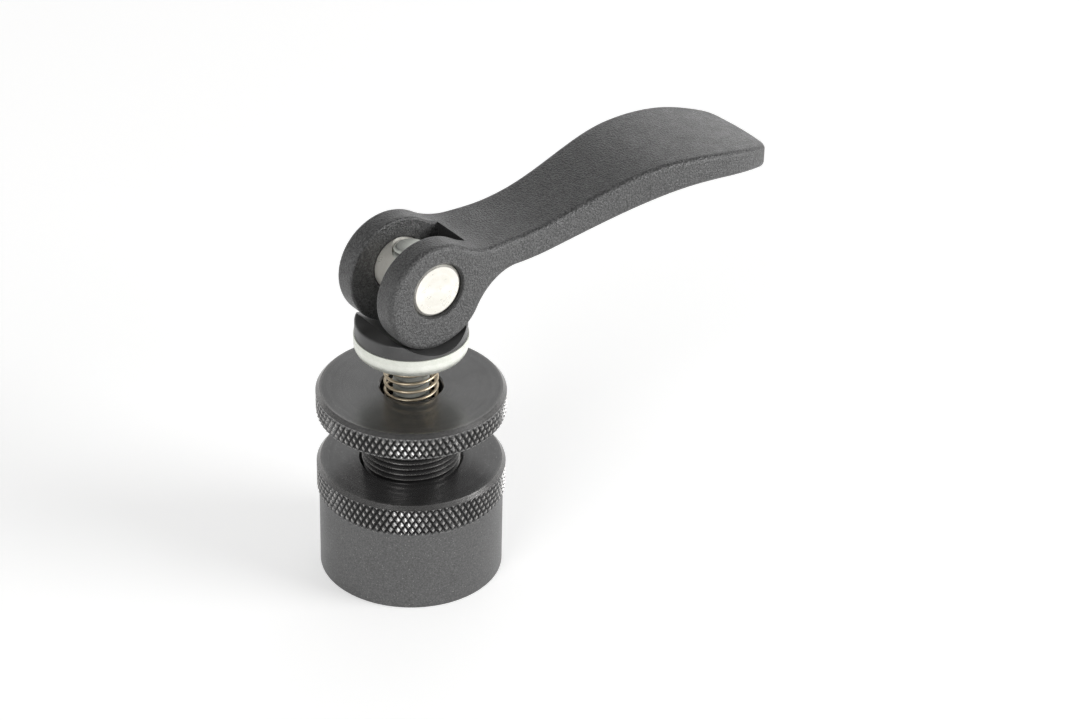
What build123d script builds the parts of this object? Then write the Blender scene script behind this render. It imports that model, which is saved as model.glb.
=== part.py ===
from build123d import *

import os
from math import cos, radians, sin

# Cam lever: an eccentric clamping lever on a stud, over a height-adjusting nut that
# screws into a turned base.  The origin is the middle of the base's underside, +Z is up,
# the closed lever points along +X and its barrel pin lies along Y.

os.makedirs("parts", exist_ok=True)

# Base, a turned body with a knurled band round its top
base_radius = 15.0
base_height = 19.8
base_floor = 5.0
base_band = 5.55  # height of the knurled band
foot_chamfer = 0.15

# Knurled rims of the base and of the nut
knurl_rise = 0.38  # how far the knurl stands above the turned surface
rim_slope = 0.6  # bevel of a knurled rim, measured inwards
rim_drop = 0.35  # and measured downwards
band_bevel = 0.28  # bevel at a knurl's lower edge

# Adjusting nut, a knurled disc on a hollow threaded shank
shank_radius = 8.0
shank_length = 15.0
shank_lead = 0.7  # chamfer that starts the thread
mouth_chamfer = 0.45
disc_thickness = 4.5
nut_lift = 9.0  # gap from the base's top to the disc
well_chamfer = 0.25
well_web = 3.0  # floor of the well that holds the spring

# Stud, M6, screwed into the base's floor
stud_radius = 2.95
stud_chamfer = 0.7
stud_seat = 1.0  # height of the bottom of its blind hole
stud_proud = 0.25  # how far its tip stands above the barrel pin

# Compression spring round the stud
spring_wire = 0.5
spring_coils = 14  # working coils, besides a closed one at each end

# Pressure cup, drawn from sheet steel, and the plastic thrust pad in it
cup_radius = 9.23
cup_height = 3.5
cup_wall = 1.0
cup_corner = 1.9  # outer radius of the drawn corner
cup_lift = 6.37  # gap from the disc to the cup, where the work goes
pad_inset = 0.18  # how far the pad's wall stands inside the cup's
pad_height = 2.4  # height of the pad above the cup's rim
pad_web = 0.4  # what the trough leaves of that height
pad_edge = 0.3
trough_ease = 1.42  # how much wider than the cam the trough is curved

# Barrel pin, across the fork
pin_radius = 4.5
pin_length = 14.35
pin_chamfer = 0.4
pin_sink = 0.6  # width of the countersink round the stud's tip

# Fork of the lever: two cam discs, eccentric to the pin
cam_radius = 8.98
cam_offset = 1.22  # from the pin's axis to the middle of the cam discs
cam_angle = -95.0  # direction of that middle, from +X
fork_width = 15.2
slot_lead = 3.1  # from the pin to the end of the slot
brow_radius = 12.0  # hollow between the cam discs and the neck's top
throat_radius = 9.0  # hollow between the cam discs and the neck's underside

# Neck and paddle of the lever, heights above the pin's axis
lever_reach = 66.9
fork_lead = 7.1  # from the cam discs to where the neck starts
neck_top = 4.3
neck_under = -0.65
neck_width = 14.0
cheek_length = 6.0  # where the fork's width eases into the neck's
neck_length = 6.5  # straight stretch before the paddle widens
paddle_top = 9.7
paddle_under = 4.5
paddle_width = 20.5
crest_back = 22.0  # paddle's highest line, back from the tip
belly_back = 16.9  # highest line of its underside, back from the tip
flare_back = 11.4  # widest place, back from the tip
tip_top = 5.7
tip_under = 1.7
tip_width = 15.2
tip_bow = 0.9
tip_corner = 3.5
lever_edge = 0.9  # rounding of the lever's outer edges
slot_edge = 0.4  # and of the slot's rims
bore_chamfer = 0.35

# Clearances: on the radius, or between two flat faces
thread_play = 0.05
stud_play = 0.3
spring_play = 1.05  # from the stud to the coil
well_play = 0.55  # from the coil to the well
slot_play = 0.55  # from the stud to the sides of the slot
guide_play = 0.07
pin_play = 0.08
seat_gap = 0.05
cam_gap = 0.37  # from the cam discs to the bottom of the trough

# Sizes that follow
knurl_radius = base_radius + knurl_rise
thread_bore = shank_radius + thread_play
floor_hole = stud_radius + thread_play
guide_hole = stud_radius + stud_play
spring_radius = stud_radius + spring_play + spring_wire
well_radius = spring_radius + well_play
pad_radius = cup_radius - pad_inset
trough_radius = cam_radius + trough_ease
slot_width = 2 * (stud_radius + slot_play)
slot_reach = pin_radius + slot_lead
neck_start = cam_radius + fork_lead
flare_start = neck_start + neck_length

# Heights that follow
disc_base = base_height + nut_lift
disc_top = disc_base + disc_thickness
shank_base = disc_base - shank_length
well_floor = shank_base + well_web
cup_base = disc_top + cup_lift
cup_rim = cup_base + cup_height
pad_top = cup_rim + pad_height
cam_x = cam_offset * cos(radians(cam_angle))
cam_z = cam_offset * sin(radians(cam_angle))
pin_height = cup_rim + pad_web + cam_gap + cam_radius - cam_z


# Turned parts, each a half profile of (radius, height) spun about Z

with BuildPart() as base_body:
    with BuildSketch(Plane.XZ):
        with BuildLine():
            Polyline(
                (0, 0),
                (base_radius - foot_chamfer, 0),
                (base_radius, foot_chamfer),
                (base_radius, base_height - base_band),
                (knurl_radius, base_height - base_band + band_bevel),
                (knurl_radius, base_height - rim_drop),
                (knurl_radius - rim_slope, base_height),
                (thread_bore + mouth_chamfer, base_height),
                (thread_bore, base_height - mouth_chamfer),
                (thread_bore, base_floor),
                (floor_hole, base_floor),
                (floor_hole, stud_seat),
                (0, stud_seat),
                close=True,
            )
        make_face()
    revolve(axis=Axis.Z)
base_body.part.label = "base_body"

with BuildPart() as adjusting_nut:
    with BuildSketch(Plane.XZ):
        with BuildLine():
            Polyline(
                (guide_hole, shank_base),
                (shank_radius - shank_lead, shank_base),
                (shank_radius, shank_base + shank_lead),
                (shank_radius, disc_base),
                (knurl_radius - band_bevel, disc_base),
                (knurl_radius, disc_base + band_bevel),
                (knurl_radius, disc_top - rim_drop),
                (knurl_radius - rim_slope, disc_top),
                (well_radius + well_chamfer, disc_top),
                (well_radius, disc_top - well_chamfer),
                (well_radius, well_floor),
                (guide_hole, well_floor),
                close=True,
            )
        make_face()
    revolve(axis=Axis.Z)
adjusting_nut.part.label = "adjusting_nut"

with BuildPart() as stud:
    stud_foot = stud_seat + seat_gap
    with BuildSketch(Plane.XY.offset(stud_foot)):
        Circle(stud_radius)
    extrude(amount=pin_height + pin_radius + stud_proud - stud_foot)
    chamfer(stud.edges().filter_by(GeomType.CIRCLE), stud_chamfer)
stud.part.label = "stud"

with BuildPart() as pressure_cup:
    with BuildSketch(Plane.XZ) as cup_section:
        with Locations((guide_hole, cup_base)):
            Rectangle(cup_radius - guide_hole, cup_height, align=Align.MIN)
        with Locations((guide_hole, cup_base + cup_wall)):
            Rectangle(
                cup_radius - cup_wall - guide_hole, cup_height, align=Align.MIN, mode=Mode.SUBTRACT
            )
        outside = cup_section.vertices().sort_by_distance((cup_radius, cup_base))[0]
        fillet(outside, cup_corner)
        inside = cup_section.vertices().sort_by_distance((cup_radius - cup_wall, cup_base + cup_wall))[0]
        fillet(inside, cup_corner - cup_wall)
    revolve(axis=Axis.Z)
pressure_cup.part.label = "pressure_cup"

# Thrust pad: a spigot that sits in the cup, a flange over the cup's rim, a trough along Y

spigot_base = cup_base + cup_wall + seat_gap

with BuildPart() as thrust_pad:
    with BuildSketch(Plane.XY.offset(cup_rim + seat_gap)):
        Circle(pad_radius)
    extrude(amount=pad_height - seat_gap)
    fillet(thrust_pad.edges().group_by(Axis.Z)[-1], pad_edge)
    with BuildSketch(Plane.XY.offset(spigot_base)):
        Circle(cup_radius - cup_wall - guide_play)
    extrude(amount=cup_rim + seat_gap - spigot_base)
    chamfer(thrust_pad.edges().group_by(Axis.Z)[0], cup_corner - cup_wall)
    with BuildSketch(Plane.XZ):
        with Locations((0, cup_rim + pad_web + trough_radius)):
            Circle(trough_radius)
    extrude(amount=pad_radius, both=True, mode=Mode.SUBTRACT)
    with Locations((0, 0, pad_top)):
        Hole(guide_hole)
thrust_pad.part.label = "thrust_pad"

# Spring: a right-hand coil whose last turn at each end is closed

coil_radius = spring_radius - spring_wire / 2
coil_base = well_floor + spring_wire / 2 + seat_gap
coil_top = cup_base - spring_wire / 2 - seat_gap
closed_rise = spring_wire + seat_gap
coil_pitch = (coil_top - coil_base - 2 * closed_rise) / spring_coils

with BuildPart() as compression_spring:
    with BuildLine() as coil:
        Helix(closed_rise, closed_rise, coil_radius, center=(0, 0, coil_base))
        Helix(coil_pitch, coil_pitch * spring_coils, coil_radius, center=(0, 0, coil_base + closed_rise))
        Helix(closed_rise, closed_rise, coil_radius, center=(0, 0, coil_top - closed_rise))
    with BuildSketch(Plane(origin=coil.line @ 0, z_dir=coil.line % 0)):
        RegularPolygon(spring_wire / 2, 6)
    sweep(path=coil.wires()[0], is_frenet=True)
compression_spring.part.label = "compression_spring"

# Barrel pin: turned, cross-drilled for the stud and countersunk at both ends of the hole

with BuildPart() as barrel_pin:
    with BuildSketch(Plane.XZ):
        with Locations((0, pin_height)):
            Circle(pin_radius)
    extrude(amount=pin_length / 2, both=True)
    chamfer(barrel_pin.edges().filter_by(GeomType.CIRCLE), pin_chamfer)
    for facing in (1, -1):
        with Locations(Plane((0, 0, pin_height + facing * pin_radius), z_dir=(0, 0, facing))):
            CounterSinkHole(floor_hole, floor_hole + pin_sink)
barrel_pin.part.label = "barrel_pin"

# Lever: a side outline cut to a plan outline, then slotted, bored and rounded


def ease(start, end):
    """A curve from start to end that leaves and arrives level."""
    third = (end[0] - start[0]) / 3
    return Bezier(start, (start[0] + third, start[1]), (end[0] - third, end[1]), end)


def droop(start, end):
    """A curve that leaves start level and bends towards end."""
    return Bezier(start, ((start[0] + end[0]) / 2, start[1]), end)


pin_axis_view = Plane((0, 0, pin_height), x_dir=(1, 0, 0), z_dir=(0, -1, 0))
crest_x = lever_reach - crest_back
belly_x = lever_reach - belly_back
flare_x = lever_reach - flare_back
fork_half = fork_width / 2
neck_half = neck_width / 2
paddle_half = paddle_width / 2
tip_half = tip_width / 2

with BuildPart() as cam_lever:
    with BuildSketch(pin_axis_view.offset(slot_width / 2)) as side_outline:
        with BuildLine():
            Polyline((neck_start, neck_under), (0, neck_under), (0, neck_top), (neck_start, neck_top))
            ease((neck_start, neck_top), (crest_x, paddle_top))
            droop((crest_x, paddle_top), (lever_reach, tip_top))
            Line((lever_reach, tip_top), (lever_reach, tip_under))
            droop((belly_x, paddle_under), (lever_reach, tip_under))
            ease((neck_start, neck_under), (belly_x, paddle_under))
        make_face()
        with Locations((cam_x, cam_z)):
            Circle(cam_radius)
        fillet(side_outline.vertices().sort_by_distance((cam_radius, neck_top))[0], brow_radius)
        fillet(side_outline.vertices().sort_by_distance((cam_radius, neck_under))[0], throat_radius)
    extrude(amount=paddle_width)
    fillet(cam_lever.edges().group_by(Axis.Y)[-1].filter_by(GeomType.CIRCLE), slot_edge)
    mirror(about=Plane.XZ)
    with BuildSketch(pin_axis_view):
        add(side_outline.sketch_local)
        with Locations((slot_reach, 0)):
            Rectangle(lever_reach, lever_reach, align=(Align.MIN, Align.CENTER), mode=Mode.INTERSECT)
    extrude(amount=slot_width / 2 + 2 * slot_edge, both=True)
    with BuildSketch() as plan_outline:
        with BuildLine():
            tail_x = -cam_radius - cam_offset
            with BuildLine() as flank:
                Line((tail_x, fork_half), (cheek_length, fork_half))
                ease((cheek_length, fork_half), (neck_start, neck_half))
                Line((neck_start, neck_half), (flare_start, neck_half))
                ease((flare_start, neck_half), (flare_x, paddle_half))
                droop((flare_x, paddle_half), (lever_reach - tip_bow, tip_half))
            mirror(flank.line, about=Plane.XZ)
            ThreePointArc(
                (lever_reach - tip_bow, tip_half), (lever_reach, 0), (lever_reach - tip_bow, -tip_half)
            )
            Line((tail_x, fork_half), (tail_x, -fork_half))
        make_face()
        fillet(plan_outline.vertices().group_by(Axis.X)[-1], tip_corner)
    extrude(amount=pin_height + paddle_top + lever_reach, mode=Mode.INTERSECT)
    outer_rims = cam_lever.edges().filter_by(lambda edge: abs(edge.center().Y) > slot_width / 2 + slot_edge)
    fillet(outer_rims, lever_edge)
    with BuildSketch(pin_axis_view):
        Circle(pin_radius + pin_play)
    extrude(amount=fork_width, both=True, mode=Mode.SUBTRACT)
    bore_rims = cam_lever.edges().filter_by(GeomType.CIRCLE).group_by(Axis.Y)
    chamfer(bore_rims[0] + bore_rims[-1], bore_chamfer)
cam_lever.part.label = "cam_lever"

for piece in (
    base_body,
    adjusting_nut,
    stud,
    pressure_cup,
    thrust_pad,
    compression_spring,
    barrel_pin,
    cam_lever,
):
    export_step(piece.part, f"parts/{piece.part.label}.step")
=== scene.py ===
import bmesh
import bpy
from math import cos, pi, radians, sin
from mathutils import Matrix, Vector


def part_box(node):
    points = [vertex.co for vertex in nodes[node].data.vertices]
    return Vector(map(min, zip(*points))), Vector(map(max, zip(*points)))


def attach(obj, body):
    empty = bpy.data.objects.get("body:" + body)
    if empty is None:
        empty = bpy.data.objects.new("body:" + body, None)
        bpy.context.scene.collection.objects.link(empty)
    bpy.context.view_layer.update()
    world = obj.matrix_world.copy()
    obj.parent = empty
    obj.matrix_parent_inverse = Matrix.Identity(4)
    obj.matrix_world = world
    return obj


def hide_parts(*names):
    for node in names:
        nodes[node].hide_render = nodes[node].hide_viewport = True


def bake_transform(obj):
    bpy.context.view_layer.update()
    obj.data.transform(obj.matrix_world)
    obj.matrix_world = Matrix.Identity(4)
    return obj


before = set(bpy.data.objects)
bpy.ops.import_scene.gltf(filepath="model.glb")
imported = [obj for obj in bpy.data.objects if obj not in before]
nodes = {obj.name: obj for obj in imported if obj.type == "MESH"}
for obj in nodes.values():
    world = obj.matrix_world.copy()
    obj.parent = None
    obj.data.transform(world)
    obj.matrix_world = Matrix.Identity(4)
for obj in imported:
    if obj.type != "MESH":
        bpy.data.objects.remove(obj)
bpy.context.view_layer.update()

mm = 0.001
scene = bpy.context.scene


def put(tree, kind, inputs=None, **settings):
    made = tree.nodes.new(kind)
    for name, value in settings.items():
        setattr(made, name, value)
    for key, value in (inputs or {}).items():
        if isinstance(value, bpy.types.NodeSocket):
            tree.links.new(value, made.inputs[key])
        else:
            made.inputs[key].default_value = value
    return made


def calc(tree, operation, *values):
    return put(tree, "ShaderNodeMath", dict(enumerate(values)), operation=operation).outputs[0]


def vector(tree, operation, first, second=(0, 0, 0), result="Vector"):
    inputs = {0: first, 1: second}
    return put(tree, "ShaderNodeVectorMath", inputs, operation=operation).outputs[result]


def startTree(name, sockets):
    # a geometry tree with named inputs, each (kind, first value)
    tree = bpy.data.node_groups.new(name, "GeometryNodeTree")
    tree.interface.new_socket("Geometry", in_out="INPUT", socket_type="NodeSocketGeometry")
    for label, (kind, value) in sockets.items():
        made = tree.interface.new_socket(label, in_out="INPUT", socket_type="NodeSocket" + kind)
        if value is not None:
            made.default_value = value
    tree.interface.new_socket("Geometry", in_out="OUTPUT", socket_type="NodeSocketGeometry")
    return tree, tree.nodes.new("NodeGroupInput").outputs


def finishTree(tree, geometry, material):
    # every tree ends in plain geometry with its material set
    plain = put(tree, "GeometryNodeRealizeInstances", {"Geometry": geometry})
    painted = put(tree, "GeometryNodeSetMaterial", {
        "Geometry": plain.outputs[0], "Material": material})
    put(tree, "NodeGroupOutput", {"Geometry": painted.outputs[0]})


def grow(name, mesh, tree, values):
    # runs a geometry tree on a mesh and keeps the result as a plain object
    seed = bpy.data.objects.new(name + "_seed", mesh)
    scene.collection.objects.link(seed)
    modifier = seed.modifiers.new(tree.name, "NODES")
    modifier.node_group = tree
    for item in tree.interface.items_tree:
        if item.in_out == "INPUT" and item.name in values:
            modifier[item.identifier] = values[item.name]
    evaluated = seed.evaluated_get(bpy.context.evaluated_depsgraph_get())
    made = bpy.data.meshes.new_from_object(evaluated)
    made.name = name
    bpy.data.objects.remove(seed)
    piece = bpy.data.objects.new(name, made)
    scene.collection.objects.link(piece)
    return piece


studio = {
    "cameraAzimuth": -34.7,
    "cameraPitch": 31.455,
    "cameraDistance": 501.26,  # from the point it looks at
    "lookHeight": 37.91,  # that point's height on the stud's axis
    "lens": 104.67,
    "shift": 0.1193,
    "sensorWidth": 36,
    "floorRadius": 4000,
    "floorSides": 96,
    "floorColour": (0.86, 0.86, 0.855, 1),
    "floorLift": 0.45,  # brightness added where the floor is seen or mirrored
    "skyNear": 1.0,  # round the horizon
    "skyHigh": 0.28,  # from skyTurn upwards
    "skyStart": 0.08,  # sine of the elevation where it begins to darken
    "skyTurn": 0.45,  # and where it is darkest
    "roomAzimuth": -34.7,  # the studio's open, darker side
    "roomPitch": 18,
    "roomShade": 0.75,
    "roomEdge": 0.25,  # cosines of the angle from that side, where the shade begins
    "roomCore": 0.85,  # and where it is full
    "lampTarget": 30,  # height on the stud's axis
    # azimuth, elevation, distance, size, power in watts
    "lamps": {
        "frontLeft": (-64, 26, 1100, 620, 4.2),
        "frontRight": (40, 14, 1200, 800, 13.5),
        "right": (122, 16, 1200, 800, 1.4),
        "back": (148, 32, 1200, 900, 1.1),
    },
}


def around(azimuth, elevation, distance, height):
    # a point round the stud's axis; azimuth 0 is in front of the pin's near end
    a, e = radians(azimuth), radians(elevation)
    way = Vector((sin(a) * cos(e), -cos(a) * cos(e), sin(e)))
    return (way * distance + Vector((0, 0, height))) * mm


def aim(thing, spot, target):
    thing.location = spot
    thing.rotation_euler = (target - spot).to_track_quat("-Z", "Y").to_euler()
    scene.collection.objects.link(thing)


def makeCamera():
    lens = bpy.data.cameras.new("camera")
    lens.lens, lens.sensor_width = studio["lens"], studio["sensorWidth"]
    lens.shift_x = studio["shift"]
    lens.clip_start, lens.clip_end = 0.01, 20  # metres
    camera = bpy.data.objects.new("camera", lens)
    height = studio["lookHeight"]
    spot = around(studio["cameraAzimuth"], studio["cameraPitch"],
                  studio["cameraDistance"], height)
    aim(camera, spot, Vector((0, 0, height)) * mm)
    scene.camera = camera


def makeLamps():
    height = studio["lampTarget"]
    for name, (azimuth, elevation, distance, size, power) in studio["lamps"].items():
        lamp = bpy.data.lights.new(name, "AREA")
        lamp.shape = "DISK"
        lamp.size, lamp.energy = size * mm, power
        spot = around(azimuth, elevation, distance, height)
        aim(bpy.data.objects.new(name, lamp), spot, Vector((0, 0, height)) * mm)


def makeSky():
    world = bpy.data.worlds.new("sky")
    scene.world = world
    world.use_nodes = True
    tree = world.node_tree
    way = put(tree, "ShaderNodeTexCoord").outputs["Generated"]
    height = put(tree, "ShaderNodeSeparateXYZ", {0: way}).outputs["Z"]
    level = put(tree, "ShaderNodeMapRange", {
        "Value": height, "From Min": studio["skyStart"], "From Max": studio["skyTurn"],
        "To Min": studio["skyNear"], "To Max": studio["skyHigh"],
    }, interpolation_type="SMOOTHSTEP").outputs[0]
    room = around(studio["roomAzimuth"], studio["roomPitch"], 1 / mm, 0)  # a unit long
    facing = vector(tree, "DOT_PRODUCT", way, room, "Value")
    shade = put(tree, "ShaderNodeMapRange", {
        "Value": facing, "From Min": studio["roomEdge"], "From Max": studio["roomCore"],
        "To Min": 1.0, "To Max": 1 - studio["roomShade"],
    }, interpolation_type="SMOOTHSTEP").outputs[0]
    level = calc(tree, "MULTIPLY", level, shade)
    tree.links.new(level, tree.nodes["Background"].inputs["Strength"])
    tree.nodes["Background"].inputs["Color"].default_value = (1, 1, 1, 1)


def makeFloor():
    mesh = bpy.data.meshes.new("floor")
    disc = bmesh.new()
    bmesh.ops.create_circle(
        disc, cap_ends=True, segments=studio["floorSides"], radius=studio["floorRadius"] * mm)
    disc.to_mesh(mesh)
    disc.free()
    floor = bpy.data.objects.new("floor", mesh)
    scene.collection.objects.link(floor)
    material = bpy.data.materials.new("floor")
    material.use_nodes = True
    tree = material.node_tree
    tree.nodes.remove(tree.nodes["Principled BSDF"])
    ray = put(tree, "ShaderNodeLightPath").outputs
    seen = calc(tree, "MAXIMUM", ray["Is Camera Ray"], ray["Is Glossy Ray"])
    seen = calc(tree, "MAXIMUM", seen, ray["Is Transmission Ray"])
    plain = put(tree, "ShaderNodeBsdfDiffuse", {"Color": studio["floorColour"]})
    glow = calc(tree, "MULTIPLY", seen, studio["floorLift"])
    lift = put(tree, "ShaderNodeEmission", {"Strength": glow})
    both = put(tree, "ShaderNodeAddShader", {0: plain.outputs[0], 1: lift.outputs[0]})
    tree.links.new(both.outputs[0], tree.nodes["Material Output"].inputs["Surface"])
    mesh.materials.append(material)


makeCamera()
makeLamps()
makeSky()
makeFloor()
scene.view_settings.view_transform = "Standard"
print("studio ready")


def startFinish(name, roughness, metallic=0.0, **constants):
    material = bpy.data.materials.new(name)
    material.use_nodes = True
    tree = material.node_tree
    shader = tree.nodes["Principled BSDF"]
    shader.inputs["Metallic"].default_value = metallic
    shader.inputs["Roughness"].default_value = roughness
    for label, value in constants.items():
        shader.inputs[label.replace("_", " ")].default_value = value
    place = put(tree, "ShaderNodeTexCoord").outputs["Object"]
    return material, tree, shader, place


def noise(tree, place, size, detail=2.0, roughness=0.5):
    # size in mm
    return put(tree, "ShaderNodeTexNoise", {
        "Vector": place, "Scale": 1 / (size * mm), "Detail": detail, "Roughness": roughness,
    }).outputs["Fac"]


def spread(tree, value, low, high, start=0.0, end=1.0):
    return put(tree, "ShaderNodeMapRange", {
        "Value": value, "From Min": low, "From Max": high, "To Min": start, "To Max": end,
    }).outputs[0]


def blendColour(tree, amount, first, second):
    made = put(tree, "ShaderNodeMix", data_type="RGBA")
    sockets = made.inputs["Factor"], made.inputs[6], made.inputs[7]  # 6 and 7 are the colours
    for socket, value in zip(sockets, (amount, first, second)):
        if isinstance(value, bpy.types.NodeSocket):
            tree.links.new(value, socket)
        else:
            socket.default_value = value
    return made.outputs[2]


def grey(level, warmth=0.0):
    return (level * (1 + warmth), level, level * (1 - warmth), 1)


def emboss(tree, shader, height, depth, strength=1.0):
    # depth in mm
    made = put(tree, "ShaderNodeBump", {
        "Height": height, "Distance": depth * mm, "Strength": strength})
    tree.links.new(made.outputs[0], shader.inputs["Normal"])


def spin(tree, shader, place, axis, centre=(0, 0, 0)):
    # turning marks run round the axis, so gloss spreads across them
    arm = vector(tree, "SUBTRACT", place, centre)
    along = vector(tree, "CROSS_PRODUCT", axis, arm)
    world = put(tree, "ShaderNodeVectorTransform", {0: along},
                convert_from="OBJECT", convert_to="WORLD").outputs[0]
    tree.links.new(vector(tree, "NORMALIZE", world), shader.inputs["Tangent"])
    return arm


def distance(tree, one, other):
    squares = calc(tree, "ADD", calc(tree, "POWER", one, 2), calc(tree, "POWER", other, 2))
    return calc(tree, "SQRT", squares)


def mixed(tree, *shares):
    # a sum of (value, share) pairs
    total = None
    for value, share in shares:
        part = calc(tree, "MULTIPLY", value, share)
        total = part if total is None else calc(tree, "ADD", total, part)
    return total


def stored(tree, name):
    return put(tree, "ShaderNodeAttribute", attribute_name=name).outputs["Fac"]


def makePowderCoat(values, pinCentre):
    material, tree, shader, place = startFinish(
        "powderCoat", values["roughness"], Specular_IOR_Level=values["gloss"],
        Sheen_Weight=values["sheen"], Sheen_Roughness=values["sheenSpread"])
    level = noise(tree, place, values["grain"], 2, 0.6)
    broad = noise(tree, place, values["cloud"], 3)
    tone = spread(tree, level, *values["grainSpan"])
    colour = blendColour(tree, tone, grey(values["dark"]), grey(values["pale"]))
    dust = spread(tree, noise(tree, place, values["dustGrain"], 1), *values["dustSpan"])
    dust = calc(tree, "MULTIPLY", dust, values["dustShow"])
    colour = blendColour(tree, dust, colour, grey(values["dust"]))
    # painted shade: the slot's end and the mouths of the bore are darkened, where shade falls
    part = put(tree, "ShaderNodeSeparateXYZ", {0: place}).outputs
    aside = calc(tree, "ABSOLUTE", part[1])
    inSlot = calc(tree, "MULTIPLY", calc(tree, "LESS_THAN", part[0], values["slotEnd"] * mm),
                  calc(tree, "LESS_THAN", aside, values["slotHalf"] * mm))
    rise = calc(tree, "SUBTRACT", part[2], pinCentre[2])
    atBore = calc(tree, "LESS_THAN", distance(tree, part[0], rise), values["boreEdge"] * mm)
    paintedShade = calc(tree, "MAXIMUM", inSlot, atBore)
    shown = calc(tree, "MULTIPLY", paintedShade, values["paintedShadeShow"])
    colour = blendColour(tree, shown, colour, grey(values["paintedShade"]))
    tree.links.new(colour, shader.inputs["Base Color"])
    rough = spread(tree, broad, *values["cloudSpan"],
                   values["roughness"] + values["glossChange"],
                   values["roughness"] - values["glossChange"])
    rough = calc(tree, "ADD", rough, calc(tree, "MULTIPLY", paintedShade, values["paintedShadeRougher"]))
    tree.links.new(rough, shader.inputs["Roughness"])
    emboss(tree, shader, level, values["relief"])
    return material


def makeBlackSteel(values):
    material, tree, shader, place = startFinish(
        "blackenedSteel", values["roughness"], values["metallic"], Anisotropic=values["brushed"])
    spin(tree, shader, place, (0, 0, 1))
    part = put(tree, "ShaderNodeSeparateXYZ", {0: place}).outputs
    radius, height = distance(tree, part[0], part[1]), part[2]
    section = put(tree, "ShaderNodeCombineXYZ", {0: radius, 2: height}).outputs[0]
    rings = noise(tree, section, values["rings"], 3)
    # the barrel below the knurled band is blasted, the rest is turned
    outer = calc(tree, "GREATER_THAN", radius, values["blastRadius"] * mm)
    blasted = calc(tree, "MULTIPLY", outer,
                   calc(tree, "LESS_THAN", height, values["blastHeight"] * mm))
    cloud = noise(tree, place, values["cloud"], 3)
    grain = noise(tree, place, values["grain"], 3, 0.6)
    speck = spread(tree, noise(tree, place, values["speck"], 1), *values["speckSpan"])
    crest, hollow = stored(tree, "crest"), stored(tree, "hollow")
    level = mixed(tree, (rings, values["ringShare"]), (cloud, values["cloudShare"]))
    tone = spread(tree, level, *values["toneSpan"])
    machined = blendColour(tree, tone, grey(values["dark"]), grey(values["pale"]))
    tone = spread(tree, grain, *values["blastSpan"])
    matt = blendColour(tree, tone, grey(values["blastDark"]), grey(values["blastPale"]))
    colour = blendColour(tree, blasted, machined, matt)
    speck = calc(tree, "MULTIPLY", speck, values["speckShow"])
    colour = blendColour(tree, speck, colour, grey(values["dust"], values["dustWarmth"]))
    # crests are lightened, partly as wear and partly as a painted highlight
    patches = spread(tree, noise(tree, place, values["wearAndHighlightGrain"], 2), *values["wearAndHighlightSpan"])
    wearAndHighlightMask = calc(tree, "MULTIPLY", spread(tree, crest, values["wearAndHighlightFrom"], 1.0), patches)
    wearAndHighlightMask = calc(tree, "MULTIPLY", wearAndHighlightMask, values["wearAndHighlight"])
    colour = blendColour(tree, wearAndHighlightMask, colour, grey(values["wornAndHighlit"], values["wornAndHighlitWarmth"]))
    # the grooves between them are darkened with painted shade
    grooveShade = spread(tree, hollow, values["grooveShadeFrom"], 1.0, 0, values["grooveShadeStrength"])
    colour = blendColour(tree, grooveShade, colour, grey(values["groove"]))
    tree.links.new(colour, shader.inputs["Base Color"])
    gloss = spread(tree, level, *values["glossSpan"],
                   values["roughness"] - values["smoother"],
                   values["roughness"] + values["rougher"])
    extra = calc(tree, "MULTIPLY", blasted, values["blastRoughness"] - values["roughness"])
    tree.links.new(calc(tree, "ADD", gloss, extra), shader.inputs["Roughness"])
    ringRelief = calc(tree, "MULTIPLY", rings, calc(tree, "SUBTRACT", 1, blasted))
    blastRelief = calc(tree, "MULTIPLY", calc(tree, "MULTIPLY", grain, blasted),
                       values["blastRelief"])
    emboss(tree, shader, calc(tree, "ADD", ringRelief, blastRelief), values["relief"],
           values["reliefStrength"])
    return material


# what all bright pieces share; each piece's own values are beside its code
brightMetal = {
    "smearShare": 0.4, "grainShare": 0.2, "turningShare": 0.4,
    "toneSpan": (0.35, 0.65), "glossSpan": (0.3, 0.7),
    "smoother": 0.05, "rougher": 0.08,
    "lineWidth": 0.09,  # either side of the chamfer's line
    # strengths of the painted shade in grooves and below a height, and of the chamfer's line
    "hollowShadeShow": 0.85, "lineShow": 0.6, "shadedBelowShow": 0.6,
    "reliefStrength": 0.4,
}


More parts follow.
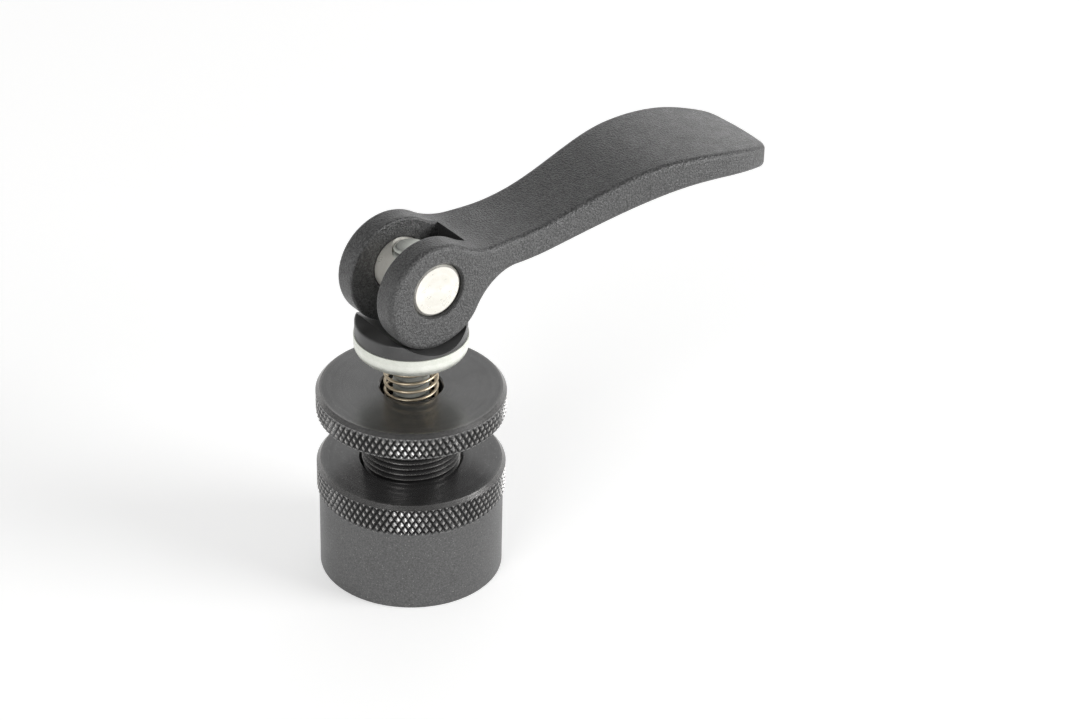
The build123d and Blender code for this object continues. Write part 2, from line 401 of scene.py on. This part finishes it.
def makeBrightMetal(name, values, axis, centre=(0, 0, 0)):
    values = {**brightMetal, **values}
    material, tree, shader, place = startFinish(
        name, values["roughness"], values["metallic"], Anisotropic=values["brushed"])
    arm = spin(tree, shader, place, axis, centre)
    along = vector(tree, "DOT_PRODUCT", arm, axis, "Value")
    radius = vector(tree, "LENGTH", vector(tree, "CROSS_PRODUCT", arm, axis), result="Value")
    section = put(tree, "ShaderNodeCombineXYZ", {0: radius, 1: along}).outputs[0]
    turning = noise(tree, section, values["turning"], 2)
    smear = noise(tree, arm, values["smear"], 3, 0.6)
    fine = noise(tree, arm, values["grain"], 2)
    level = mixed(tree, (smear, values["smearShare"]), (fine, values["grainShare"]),
                  (turning, values["turningShare"]))
    tone = spread(tree, level, *values["toneSpan"])
    colour = blendColour(tree, tone, values["dark"], values["pale"])
    # painted shade darkens the grooves and whatever lies below a height; the line inside a
    # chamfer is duller too
    line = calc(tree, "COMPARE", radius, values["chamferLine"] * mm, values["lineWidth"] * mm)
    low = calc(tree, "LESS_THAN", along, values["shadedBelow"] * mm)
    dull = calc(tree, "MAXIMUM",
                calc(tree, "MULTIPLY", stored(tree, "hollow"), values["hollowShadeShow"]),
                calc(tree, "MULTIPLY", line, values["lineShow"]))
    dull = calc(tree, "MAXIMUM", dull, calc(tree, "MULTIPLY", low, values["shadedBelowShow"]))
    colour = blendColour(tree, dull, colour, values["dull"])
    tree.links.new(colour, shader.inputs["Base Color"])
    rough = spread(tree, smear, *values["glossSpan"],
                   values["roughness"] - values["smoother"],
                   values["roughness"] + values["rougher"])
    tree.links.new(rough, shader.inputs["Roughness"])
    emboss(tree, shader, calc(tree, "ADD", fine, turning), values["relief"],
           values["reliefStrength"])
    return material


def makePadPlastic(values):
    material, tree, shader, place = startFinish("blackPlastic", values["roughness"])
    fine = noise(tree, place, values["grain"], 3)
    cloud = noise(tree, place, values["cloud"], 2)
    speck = spread(tree, noise(tree, place, values["speck"], 1), *values["speckSpan"])
    speck = calc(tree, "MULTIPLY", speck, values["speckShow"])
    tone = spread(tree, cloud, *values["cloudSpan"])
    colour = blendColour(tree, tone, grey(values["dark"]), grey(values["pale"]))
    colour = blendColour(tree, speck, colour, grey(values["dust"]))
    tree.links.new(colour, shader.inputs["Base Color"])
    rough = spread(tree, cloud, *values["cloudSpan"],
                   values["roughness"] - values["smoother"],
                   values["roughness"] + values["rougher"])
    tree.links.new(rough, shader.inputs["Roughness"])
    emboss(tree, shader, fine, values["relief"], values["reliefStrength"])
    return material


# every thread here has a 1 mm pitch; the flats are shares of it
thread = {"pitch": 1.0, "crestFlat": 0.125, "rootFlat": 0.25}
knurl = {
    "crest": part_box("adjusting_nut")[1].x / mm,
    "diamonds": 84,  # round the rim
    "columns": 6,  # of faces in each
    "period": 1.96,  # along the axis
    "rise": 0.36,  # from the grooves to the crest
    "point": 0.66,  # where a diamond's tip is cut off
    "slope": 0.6,  # of the rim's bevel, inwards
    "bevel": 0.28,  # at the lower edge
    "bevelRows": 2,  # of faces under the rim's bevel
    "bevelWearAndHighlight": 0.2,  # how much less the bevel is worn and given painted highlight than the crests
}


def turnedTree():
    tree, given = startTree("turnedPart", {
        "Columns": ("Int", 96),
        "Start Angle": ("Float", 0.0),
        "Knurl Crest": ("Float", 0.0), "Knurl Rise": ("Float", 0.0),
        "Knurl Point": ("Float", 0.8), "Knurl Columns": ("Int", 6),
        "Thread Crest": ("Float", 0.0), "Thread Depth": ("Float", 0.0),
        "Thread Pitch": ("Float", 0.001), "Thread Edge": ("Float", 0.0),
        "Thread Side": ("Float", 1.0),  # -1 for a thread inside a bore
        "Thread Low": ("Float", 0.0), "Thread High": ("Float", 0.0),
        "Lead Low": ("Float", 0.0), "Lead High": ("Float", 0.0),
        "Sharp Angle": ("Float", radians(26)), "Material": ("Material", None),
    })
    outline, columns = given["Geometry"], given["Columns"]
    rows = put(tree, "GeometryNodeAttributeDomainSize", {0: outline}).outputs["Point Count"]
    sheet = put(tree, "GeometryNodeMeshGrid", {
        "Vertices X": calc(tree, "ADD", columns, 1), "Vertices Y": rows}).outputs["Mesh"]
    index = put(tree, "GeometryNodeInputIndex").outputs[0]

    def divide(count):
        whole = calc(tree, "FLOOR", calc(tree, "DIVIDE", index, count))
        return whole, calc(tree, "SUBTRACT", index, calc(tree, "MULTIPLY", whole, count))

    def read(value, at, kind="FLOAT"):
        inputs = {"Geometry": outline, "Value": value, "Index": at}
        return put(tree, "GeometryNodeSampleIndex", inputs, data_type=kind).outputs[0]

    def named(label):
        inputs = {"Name": label}
        return put(tree, "GeometryNodeInputNamedAttribute", inputs).outputs["Attribute"]

    def store(geometry, label, value, domain="POINT"):
        return put(tree, "GeometryNodeStoreNamedAttribute", {
            "Geometry": geometry, "Name": label, "Value": value}, domain=domain).outputs[0]

    def zigzag(value):
        # 0 on whole numbers, 1 half way between them
        fold = calc(tree, "SUBTRACT", calc(tree, "MULTIPLY", calc(tree, "FRACT", value), 2), 1)
        return calc(tree, "SUBTRACT", 1, calc(tree, "ABSOLUTE", fold))

    def choose(flag, whenNot, when):
        extra = calc(tree, "MULTIPLY", flag, calc(tree, "SUBTRACT", when, whenNot))
        return calc(tree, "ADD", whenNot, extra)

    column, row = divide(rows)
    position = put(tree, "GeometryNodeInputPosition").outputs[0]
    spot = put(tree, "ShaderNodeSeparateXYZ", {0: read(position, row, "FLOAT_VECTOR")}).outputs
    step, cut, flag = named("knurlStep"), named("knurlCut"), named("threaded")
    knurlStep, knurlCut, threaded = read(step, row), read(cut, row), read(flag, row)
    turn = calc(tree, "DIVIDE", column, columns)

    # thread: each row climbs one pitch in a turn, held between the thread's two ends
    pitch, low, high = given["Thread Pitch"], given["Thread Low"], given["Thread High"]
    climb = calc(tree, "ADD", spot["Z"], calc(tree, "MULTIPLY", pitch, turn))
    level = calc(tree, "MINIMUM", calc(tree, "MAXIMUM", climb, low), high)
    phase = calc(tree, "SUBTRACT", calc(tree, "DIVIDE", level, pitch), turn)
    groove = spread(tree, zigzag(phase), thread["crestFlat"], 1 - thread["rootFlat"])
    cutDepth = calc(tree, "MULTIPLY", given["Thread Depth"], groove)
    wall = calc(tree, "SUBTRACT", given["Thread Crest"], cutDepth)
    leadLow = calc(tree, "SUBTRACT", given["Lead Low"], calc(tree, "SUBTRACT", level, low))
    leadHigh = calc(tree, "SUBTRACT", given["Lead High"], calc(tree, "SUBTRACT", high, level))
    lead = calc(tree, "MAXIMUM", calc(tree, "MAXIMUM", leadLow, leadHigh), 0)
    side = given["Thread Side"]
    limit = calc(tree, "SUBTRACT", calc(tree, "MULTIPLY", side, given["Thread Edge"]), lead)
    wall = calc(tree, "MINIMUM", calc(tree, "MULTIPLY", side, wall), limit)
    wall = calc(tree, "MULTIPLY", side, wall)
    radius = choose(threaded, spot["X"], wall)
    height = choose(threaded, spot["Z"], level)

    # knurl: two crossing sets of grooves leave diamonds
    across = given["Knurl Columns"]
    one = zigzag(calc(tree, "DIVIDE", calc(tree, "ADD", column, knurlStep), across))
    other = zigzag(calc(tree, "DIVIDE", calc(tree, "SUBTRACT", column, knurlStep), across))
    point = calc(tree, "DIVIDE", calc(tree, "MINIMUM", one, other), given["Knurl Point"])
    diamond = calc(tree, "MINIMUM", point, 1)
    sunk = calc(tree, "MULTIPLY", calc(tree, "MULTIPLY", given["Knurl Rise"], knurlCut),
                calc(tree, "SUBTRACT", 1, diamond))
    knurled = calc(tree, "GREATER_THAN", knurlStep, -0.5)  # the step is -1 off the band
    bump = calc(tree, "SUBTRACT", given["Knurl Crest"], sunk)
    radius = choose(knurled, radius, calc(tree, "MINIMUM", radius, bump))

    angle = calc(tree, "ADD", calc(tree, "MULTIPLY", turn, 2 * pi), given["Start Angle"])
    place = put(tree, "ShaderNodeCombineXYZ", {
        0: calc(tree, "MULTIPLY", radius, calc(tree, "COSINE", angle)),
        1: calc(tree, "MULTIPLY", radius, calc(tree, "SINE", angle)), 2: height}).outputs[0]
    # hollow marks the grooves, which the finishes darken with painted shade
    sink = calc(tree, "MULTIPLY", knurlCut, calc(tree, "SUBTRACT", 1, diamond))
    hollow = calc(tree, "ADD", calc(tree, "MULTIPLY", knurled, sink),
                  calc(tree, "MULTIPLY", threaded, groove))
    bevel = calc(tree, "MULTIPLY", knurled, calc(tree, "SUBTRACT", 1, knurlCut))
    # crest marks where the finish paints wear and a painted highlight
    crest = calc(tree, "SUBTRACT", calc(tree, "ADD", knurled, threaded), hollow)
    crest = calc(tree, "SUBTRACT", crest, calc(tree, "MULTIPLY", bevel, knurl["bevelWearAndHighlight"]))
    marked = store(store(sheet, "crest", crest), "hollow", hollow)
    wrapped = put(tree, "GeometryNodeSetPosition", {
        "Geometry": marked, "Position": place}).outputs[0]

    # a face is split along the groove that it lies nearest to
    faceColumn, faceRow = divide(calc(tree, "SUBTRACT", rows, 1))
    faceStep, nextStep = read(step, faceRow), read(step, calc(tree, "ADD", faceRow, 1))
    onBand = calc(tree, "GREATER_THAN", calc(tree, "MINIMUM", faceStep, nextStep), -0.5)
    below = calc(tree, "ADD", calc(tree, "ADD", faceColumn, faceStep), 1)
    falling = zigzag(calc(tree, "DIVIDE", below, across))
    rising = zigzag(calc(tree, "DIVIDE", calc(tree, "SUBTRACT", faceColumn, faceStep), across))
    nearer = calc(tree, "ADD", calc(tree, "LESS_THAN", falling, rising), 1)
    mesh = store(wrapped, "split", calc(tree, "MULTIPLY", onBand, nearer), "FACE")
    for kind, method in ((1, "FIXED"), (2, "FIXED_ALTERNATE")):
        chosen = calc(tree, "COMPARE", named("split"), kind, 0.5)
        mesh = put(tree, "GeometryNodeTriangulate", {
            "Mesh": mesh, "Selection": chosen}, quad_method=method).outputs[0]
    mesh = put(tree, "GeometryNodeRemoveAttribute", {
        "Geometry": mesh, "Name": "split"}).outputs[0]
    # closes the seam, the poles, and an outline that ends where it began
    mesh = put(tree, "GeometryNodeMergeByDistance", {
        "Geometry": mesh, "Distance": 0.001 * mm}).outputs[0]
    mesh = put(tree, "GeometryNodeSetShadeSmooth", {"Geometry": mesh}).outputs[0]
    bend = put(tree, "GeometryNodeInputMeshEdgeAngle").outputs["Unsigned Angle"]
    sharp = calc(tree, "GREATER_THAN", bend, given["Sharp Angle"])
    mesh = put(tree, "GeometryNodeSetShadeSmooth", {
        "Geometry": mesh, "Selection": sharp, "Shade Smooth": False}, domain="EDGE").outputs[0]
    finishTree(tree, mesh, given["Material"])
    return tree


turned = turnedTree()
notLengths = {"Knurl Point", "Thread Side"}  # all other values of a turned part are in mm


def turnPart(name, rows, values, material, startAngle=0.0, columns=0):
    # rows run from the foot outwards and up, each one
    # (radius, height, knurl step or -1, how deep it is cut, threaded or 0)
    mesh = bpy.data.meshes.new(name + "_outline")
    mesh.from_pydata([(row[0] * mm, 0, row[1] * mm) for row in rows], [], [])
    for label, place in (("knurlStep", 2), ("knurlCut", 3), ("threaded", 4)):
        marks = mesh.attributes.new(label, "FLOAT", "POINT")
        marks.data.foreach_set("value", [float(row[place]) for row in rows])
    values = {label: value if label in notLengths else value * mm
              for label, value in values.items()}
    return grow(name, mesh, turned, {
        **values, "Columns": columns or knurl["diamonds"] * knurl["columns"],
        "Knurl Columns": knurl["columns"], "Start Angle": radians(startAngle),
        "Material": material})


def plainRows(*spots):
    return [(r, z, -1, 0, 0) for r, z in spots]


def threadRows(low, high, down=False):
    # where the flanks of a 60 degree thread begin and end, from a pitch below low up to high
    pitch = thread["pitch"]
    crestEnd, rootStart = thread["crestFlat"] / 2, (1 - thread["rootFlat"]) / 2
    stations = []
    turnNumber = int(low / pitch) - 2
    while turnNumber * pitch < high:
        stations += [(turnNumber + part) * pitch
                     for part in (crestEnd, rootStart, 1 - rootStart, 1 - crestEnd)]
        turnNumber += 1
    past = 0.01 * pitch  # the end rows lie just outside, so that they close flat
    inside = [z for z in stations if low - pitch - past / 10 < z < high]
    rows = [(0, z, -1, 0, 1) for z in [low - pitch - past, *inside, high + past]]
    return rows[::-1] if down else rows


def knurlRows(low, high, foot, top, runOut):
    # the band's limit: a bevel up from the foot over one row, the crest,
    # and the rim's bevel in to the top
    crest, bevelRows = knurl["crest"], knurl["bevelRows"]
    count = round((high - low) / knurl["period"] * knurl["columns"])
    rows = []
    for step in range(count + 1):
        limit = min(crest, foot + step * (crest - foot),
                    top + (count - step) * (crest - top) / bevelRows)
        depth = min(1, max(0, (count - step - bevelRows) / runOut))
        rows.append((limit, low + (high - low) * step / count, step, depth, 0))
    return rows


blackSteel = {
    "dark": 0.125, "pale": 0.170, "toneSpan": (0.35, 0.65),
    "metallic": 0.8, "roughness": 0.21, "brushed": 0.55,
    "glossSpan": (0.3, 0.7), "smoother": 0.04, "rougher": 0.06,
    "rings": 0.25, "cloud": 4, "ringShare": 0.6, "cloudShare": 0.4,
    "relief": 0.010, "reliefStrength": 0.6,
    "blastHeight": 14.25, "blastRadius": 14.9,  # below and outside these it is blasted
    "blastDark": 0.10, "blastPale": 0.17, "blastSpan": (0.3, 0.7), "blastRoughness": 0.37,
    "grain": 0.30, "blastRelief": 4.0,  # times the rings' relief
    "speck": 0.17, "speckSpan": (0.68, 0.76), "speckShow": 0.6,
    # the crests' worn colour is partly wear and partly a painted highlight
    "dust": 0.55, "dustWarmth": 0.02, "wornAndHighlit": 0.52, "wornAndHighlitWarmth": 0.03,
    "wearAndHighlight": 0.75, "wearAndHighlightFrom": 0.7, "wearAndHighlightGrain": 0.25, "wearAndHighlightSpan": (0.30, 0.56),
    # painted shade in the grooves
    "groove": 0.02, "grooveShadeFrom": 0.45, "grooveShadeStrength": 0.75,
}
base = {
    "bandHeight": 5.55,
    "footChamfer": 0.15,
    "startAngle": 180.0,  # as the nut's, so that the threads mesh
    "knurlRunOut": 1,  # rows over which the grooves fade out under the rim's bevel
    "sideRadius": 15.0,
    "topRing": 11.25,  # a ring on the top, to keep its faces even
    "mouthRadius": 8.5,
    "boreFloor": 5.0,  # where the thread ends too
    "threadRadius": 8.07,
    "threadDepth": 0.56,
    "studHole": 3.0,
    "studSeat": 1.0,
}
blackenedSteel = makeBlackSteel(blackSteel)


def makeBase():
    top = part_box("base_body")[1].z / mm
    side, mouth = base["sideRadius"], base["mouthRadius"]
    minor = base["threadRadius"] - base["threadDepth"]
    band = top - base["bandHeight"]
    chamfer = base["footChamfer"]
    # rings half way across the foot and the side keep the faces even
    rows = plainRows((0, 0), (side / 2, 0), (side - chamfer, 0), (side, chamfer),
                     (side, band / 2), (side, band - chamfer))
    rows += knurlRows(band, top, side, knurl["crest"] - knurl["slope"], base["knurlRunOut"])
    rows += plainRows((base["topRing"], top), (mouth, top))
    rows += threadRows(base["boreFloor"], top, down=True)
    rows += plainRows((base["studHole"], base["boreFloor"]),
                      (base["studHole"], base["studSeat"]), (0, base["studSeat"]))
    piece = turnPart("base_shell", rows, {
        "Knurl Crest": knurl["crest"], "Knurl Rise": knurl["rise"],
        "Knurl Point": knurl["point"], "Thread Side": -1.0,
        "Thread Crest": base["threadRadius"], "Thread Depth": base["threadDepth"],
        "Thread Pitch": thread["pitch"], "Thread Edge": minor,
        "Thread Low": base["boreFloor"], "Thread High": top, "Lead High": mouth - minor,
    }, blackenedSteel, base["startAngle"])
    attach(piece, "base")
    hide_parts("base_body")


makeBase()
print("base turned and knurled")

nut = {
    "startAngle": 180.0,
    "knurlRunOut": 2,
    "discThickness": 4.5,
    "shankRadius": 8.0,
    "threadDepth": 0.61,
    "shankLead": 0.7,
    "topRing": 10,
    "wellRadius": 5.05,
    "wellChamfer": 0.25,
    "wellWeb": 3.0,
    "guideHole": 3.25,
}


def makeNut():
    low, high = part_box("adjusting_nut")
    crest, foot, top = knurl["crest"], low.z / mm, high.z / mm
    disc = top - nut["discThickness"]
    shank, well, hole = nut["shankRadius"], nut["wellRadius"], nut["guideHole"]
    rows = plainRows((hole, foot), (shank - nut["shankLead"], foot))
    rows += threadRows(foot, disc)
    rows += knurlRows(disc, top, crest - knurl["bevel"], crest - knurl["slope"],
                      nut["knurlRunOut"])
    chamfer, floor = nut["wellChamfer"], foot + nut["wellWeb"]
    rows += plainRows((nut["topRing"], top), (well + chamfer, top), (well, top - chamfer),
                      (well, floor), (hole, floor), (hole, foot))
    piece = turnPart("adjusting_nut_turned", rows, {
        "Knurl Crest": crest, "Knurl Rise": knurl["rise"], "Knurl Point": knurl["point"],
        "Thread Crest": shank, "Thread Depth": nut["threadDepth"],
        "Thread Pitch": thread["pitch"], "Thread Edge": shank,
        "Thread Low": foot, "Thread High": disc, "Lead Low": nut["shankLead"],
    }, blackenedSteel, nut["startAngle"])
    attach(piece, "nut")
    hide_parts("adjusting_nut")


makeNut()
print("nut turned, knurled and threaded")

stud = {
    "threadDepth": 0.6,
    "tipLead": 0.7,
    "columns": 64,
    "metal": {
        "dark": (0.80, 0.83, 0.76, 1), "pale": (0.96, 0.98, 0.92, 1), "dull": grey(0.06),
        "metallic": 0.35, "roughness": 0.34, "brushed": 0.3,
        "smear": 2.0, "grain": 0.2, "turning": 0.3, "relief": 0.004,
        # below this height, inside the spring and under the cup, shade is painted
        "chamferLine": 0, "shadedBelow": 44,
    },
}


def makeStud():
    low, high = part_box("stud")
    crest, foot, tip = high.x / mm, low.z / mm, high.z / mm
    end = crest - stud["tipLead"]
    rows = plainRows((0, foot), (end, foot)) + threadRows(foot, tip)
    rows += plainRows((end, tip), (0, tip))
    metal = makeBrightMetal("studSteel", stud["metal"], (0, 0, 1))
    piece = turnPart("threaded_stud", rows, {
        "Thread Crest": crest, "Thread Depth": stud["threadDepth"],
        "Thread Pitch": thread["pitch"], "Thread Edge": crest,
        "Thread Low": foot, "Thread High": tip,
        "Lead Low": stud["tipLead"], "Lead High": stud["tipLead"],
    }, metal, columns=stud["columns"])
    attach(piece, "base")
    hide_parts("stud")


makeStud()
print("stud threaded")

spring = {
    "wire": 0.5,
    "workingTurns": 14,
    "closedRise": 0.55,  # of the one closed turn at each end
    "startAngle": 199.0,
    "stepsPerTurn": 48,
    "wireSides": 12,
    "metal": {
        "dark": (0.48, 0.40, 0.28, 1), "pale": (0.77, 0.66, 0.50, 1), "dull": grey(0.1),
        "metallic": 0.8, "roughness": 0.36, "brushed": 0.0,
        "smear": 2.5, "grain": 0.3, "turning": 0.5, "relief": 0.0005,
        "chamferLine": 0, "shadedBelow": 0,
    },
}


def springTree():
    tree, given = startTree("coilSpring", {
        "Coil Radius": ("Float", 0.004), "Wire Radius": ("Float", 0.00025),
        "Foot": ("Float", 0.0), "Working Turns": ("Float", 14.0), "Pitch": ("Float", 0.0015),
        "Closed Rise": ("Float", 0.0005), "Start Angle": ("Float", 0.0),
        "Steps": ("Int", 480), "Sides": ("Int", 12), "Material": ("Material", None),
    })
    line = put(tree, "GeometryNodeCurvePrimitiveLine").outputs[0]
    path = put(tree, "GeometryNodeResampleCurve", {
        "Curve": line, "Count": given["Steps"]}).outputs[0]
    along = put(tree, "GeometryNodeSplineParameter").outputs["Factor"]
    working = given["Working Turns"]
    turns = calc(tree, "MULTIPLY", along, calc(tree, "ADD", working, 2))

    def part(start, most):
        # turns done past a start, up to a most
        done = calc(tree, "MAXIMUM", calc(tree, "SUBTRACT", turns, start), 0)
        return calc(tree, "MINIMUM", done, most)

    closed = calc(tree, "ADD", part(0, 1), part(calc(tree, "ADD", working, 1), 1))
    climb = calc(tree, "ADD", calc(tree, "MULTIPLY", closed, given["Closed Rise"]),
                 calc(tree, "MULTIPLY", part(1, working), given["Pitch"]))
    angle = calc(tree, "ADD", calc(tree, "MULTIPLY", turns, 2 * pi), given["Start Angle"])
    spot = put(tree, "ShaderNodeCombineXYZ", {
        0: calc(tree, "MULTIPLY", given["Coil Radius"], calc(tree, "COSINE", angle)),
        1: calc(tree, "MULTIPLY", given["Coil Radius"], calc(tree, "SINE", angle)),
        2: calc(tree, "ADD", given["Foot"], climb)}).outputs[0]
    coil = put(tree, "GeometryNodeSetPosition", {"Geometry": path, "Position": spot}).outputs[0]
    section = put(tree, "GeometryNodeCurvePrimitiveCircle", {
        "Resolution": given["Sides"], "Radius": given["Wire Radius"]}).outputs[0]
    wire = put(tree, "GeometryNodeCurveToMesh", {
        "Curve": coil, "Profile Curve": section, "Fill Caps": True}).outputs[0]
    wire = put(tree, "GeometryNodeSetShadeSmooth", {"Geometry": wire}).outputs[0]
    finishTree(tree, wire, given["Material"])
    return tree


def makeSpring():
    low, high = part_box("compression_spring")
    wire = spring["wire"] * mm
    foot, top = low.z + wire / 2, high.z - wire / 2
    rise = spring["closedRise"] * mm
    turns = spring["workingTurns"]
    metal = makeBrightMetal("springWire", spring["metal"], (0, 0, 1))
    piece = grow("coil_spring", bpy.data.meshes.new("coil_seed"), springTree(), {
        "Coil Radius": high.x - wire / 2, "Wire Radius": wire / 2, "Foot": foot,
        "Working Turns": float(turns), "Pitch": (top - foot - 2 * rise) / turns,
        "Closed Rise": rise, "Start Angle": radians(spring["startAngle"]),
        "Steps": (turns + 2) * spring["stepsPerTurn"] + 1,
        "Sides": spring["wireSides"], "Material": metal,
    })
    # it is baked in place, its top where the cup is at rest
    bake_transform(piece)
    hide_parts("compression_spring")


makeSpring()
print("spring coiled")


def paint(node, material):
    for slot in nodes[node].material_slots:
        slot.material = material


lever = {
    "dark": 0.018, "pale": 0.095, "roughness": 0.40, "gloss": 0.7,
    "sheen": 0.08, "sheenSpread": 0.35,
    "grain": 0.30, "grainSpan": (0.36, 0.66), "relief": 0.20,
    "cloud": 1.8, "cloudSpan": (0.35, 0.65), "glossChange": 0.06,
    "dustGrain": 0.2, "dustSpan": (0.72, 0.78), "dustShow": 0.5, "dust": 0.35,
    "slotEnd": 7.7, "slotHalf": 3.35, "boreEdge": 4.78,
    # painted shade at the slot's end and round the bore's mouths, also made rougher
    "paintedShade": 0.004, "paintedShadeShow": 0.85, "paintedShadeRougher": 0.3,
}
pad = {
    "dark": 0.055, "pale": 0.085, "cloud": 3, "cloudSpan": (0.3, 0.7),
    "roughness": 0.34, "smoother": 0.06, "rougher": 0.08,
    "grain": 0.3, "relief": 0.012, "reliefStrength": 0.4,
    "speck": 0.22, "speckSpan": (0.72, 0.8), "speckShow": 0.4, "dust": 0.3,
}
cup = {
    "dark": (0.76, 0.78, 0.70, 1), "pale": (0.96, 0.97, 0.91, 1), "dull": grey(0.2),
    "metallic": 0.5, "roughness": 0.36, "brushed": 0.4,
    "smear": 1.6, "grain": 0.25, "turning": 0.6, "relief": 0.003,
    "chamferLine": 0, "shadedBelow": 0,
}
pin = {
    "dark": (0.82, 0.80, 0.72, 1), "pale": (0.94, 0.92, 0.86, 1), "dull": grey(0.3, 0.06),
    "metallic": 0.5, "roughness": 0.30, "brushed": 0.7,
    "smear": 1.5, "grain": 0.18, "turning": 0.35, "relief": 0.001,
    "chamferLine": 4.1,  # the radius where the end's chamfer begins
    "shadedBelow": -100,
}

pinLow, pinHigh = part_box("barrel_pin")
pinCentre = (0, 0, (pinLow.z + pinHigh.z) / 2)
paint("cam_lever", makePowderCoat(lever, pinCentre))
paint("thrust_pad", makePadPlastic(pad))
paint("pressure_cup", makeBrightMetal("zincPlate", cup, (0, 0, 1)))
paint("barrel_pin", makeBrightMetal("turnedSteel", pin, (0, 1, 0), pinCentre))
print("lever, pad, cup and pin finished")
